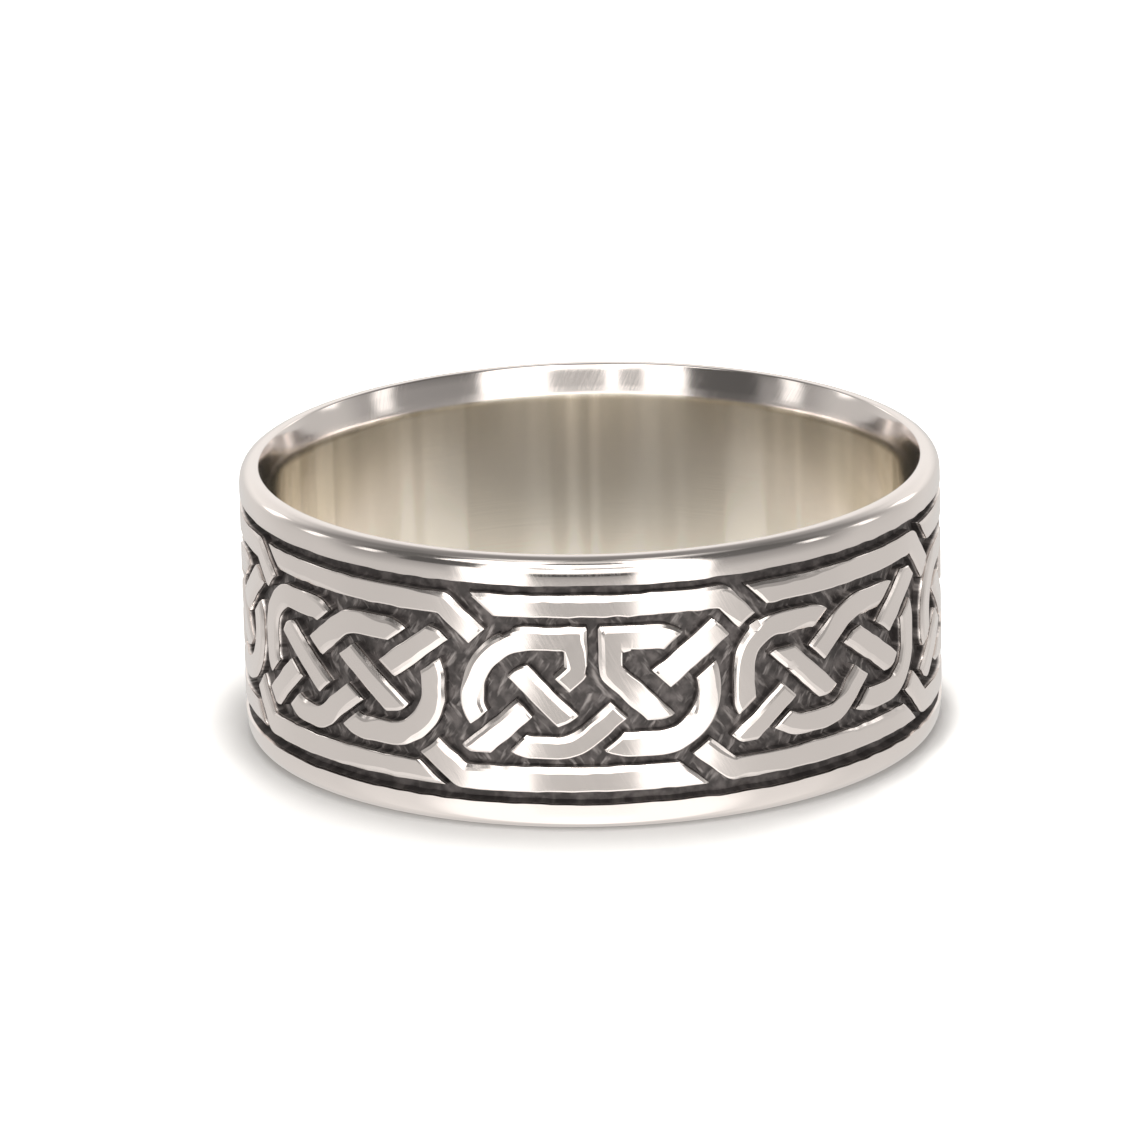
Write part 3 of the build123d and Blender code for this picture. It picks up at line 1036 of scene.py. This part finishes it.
def grey(level):
    """The colour for a brightness, as a share of the brightest."""
    return (level / brightest, level / brightest, level / brightest, 1)


def zone_ramp(tree, share, rows):
    """The brightness of a zone: a ramp over the share of the way from the lowest to the highest elevation."""
    node = add(tree, "ShaderNodeValToRGB", {"Fac": share})
    stops = node.color_ramp.elements
    while len(stops) < len(rows):
        stops.new(1.0)
    for stop, (elevation, level) in zip(stops, rows):
        stop.position = (elevation - lowest) / (highest - lowest)
        stop.color = grey(level)
    return node.outputs["Color"]


def room_level(tree):
    """The brightness of the room by direction. Azimuth is atan2(x, -y) and elevation is asin z, in degrees.
    The camera's side is drawn over the patches, so it hides the table's middle."""
    x, y, z = split(tree, add(tree, "ShaderNodeTexCoord").outputs["Generated"])
    azimuth = product(tree, turn_from_front(tree, x, y), 180 / pi)
    aside = calculate(tree, "ABSOLUTE", azimuth)
    elevation = product(tree, calculate(tree, "ARCSINE", z), 180 / pi)
    above = calculate(tree, "SUBTRACT", elevation, lowest)
    share = calculate(tree, "DIVIDE", above, highest - lowest, clamp=True)
    front, windows, near, far, behind = [zone_ramp(tree, share, rows) for rows in zones.values()]
    level = blend(tree, smooth_range(tree, aside, *far_to_behind), far, behind)
    level = blend(tree, smooth_range(tree, aside, *near_to_far, 1.0, 0.0), level, near)
    level = blend(tree, between(tree, azimuth, *windows_span), level, windows)
    for across, up, brightness in patches.values():
        level = blend(tree, inside(tree, azimuth, elevation, across, up), level, grey(brightness))
    level = blend(tree, between(tree, azimuth, *camera_span), level, front)
    level = product(tree, level, brightest)
    for lamps, sideways in ((side_lamps, aside), (front_lamps, azimuth)):
        for middle, half, low, high, brightness in lamps:
            across = (middle - half, middle + half, half)
            lamp = inside(tree, sideways, elevation, across, (low, high, lamp_softness))
            level = calculate(tree, "MULTIPLY_ADD", lamp, brightness, level)
    return level


backdrop = 1.05
lamp_colour = (1.0, 0.985, 0.96, 1)


def room():
    """The world: plain white to the camera, and the painted room to everything else."""
    world = bpy.data.worlds.new("studio")
    bpy.context.scene.world = world
    world.use_nodes = True
    tree = world.node_tree
    tree.nodes.clear()
    lit = add(tree, "ShaderNodeBackground", {"Color": lamp_colour, "Strength": room_level(tree)})
    seen = add(tree, "ShaderNodeBackground", {"Color": (1, 1, 1, 1), "Strength": backdrop})
    add(tree, "ShaderNodeOutputWorld", {"Surface": for_camera(tree, lit.outputs[0], seen.outputs[0])})


room()
bpy.context.scene.view_settings.view_transform = "Standard"

# %% [markdown]
# ## The camera
# A long lens from a quarter of a metre away keeps the ring almost free of perspective. The camera looks down
# at the band's middle, and is turned by a few thousandths so that the ring sits where the photograph has it.

# %% The camera
image_pixels = 1141
focal_pixels = 8372.4
camera_distance = 24.0 * outer_radius
camera_elevation = 0.306491
camera_yaw = 0.0024921
camera_pitch = 0.0019718
camera_roll = -0.0213566


def photo_camera():
    """A camera at the end of an arm from the band's middle, looking back along the arm. Its turn is the tilt
    about X, then yaw, pitch and roll about its own axes."""
    data = bpy.data.cameras.new("camera")
    data.sensor_width = 36
    data.lens = focal_pixels / image_pixels * data.sensor_width
    camera = new_object("camera", data)
    tilt = Matrix.Rotation(pi / 2 - camera_elevation, 4, "X")
    turn = tilt
    for angle, axis in ((camera_yaw, "Y"), (camera_pitch, "X"), (camera_roll, "Z")):
        turn = turn @ Matrix.Rotation(angle, 4, axis)
    arm = tilt @ Vector((0, 0, camera_distance))
    camera.matrix_world = Matrix.Translation(arm + Vector((0, 0, middle_height))) @ turn
    data.clip_start = 0.01
    data.clip_end = 2.0
    return camera


bpy.context.scene.camera = photo_camera()
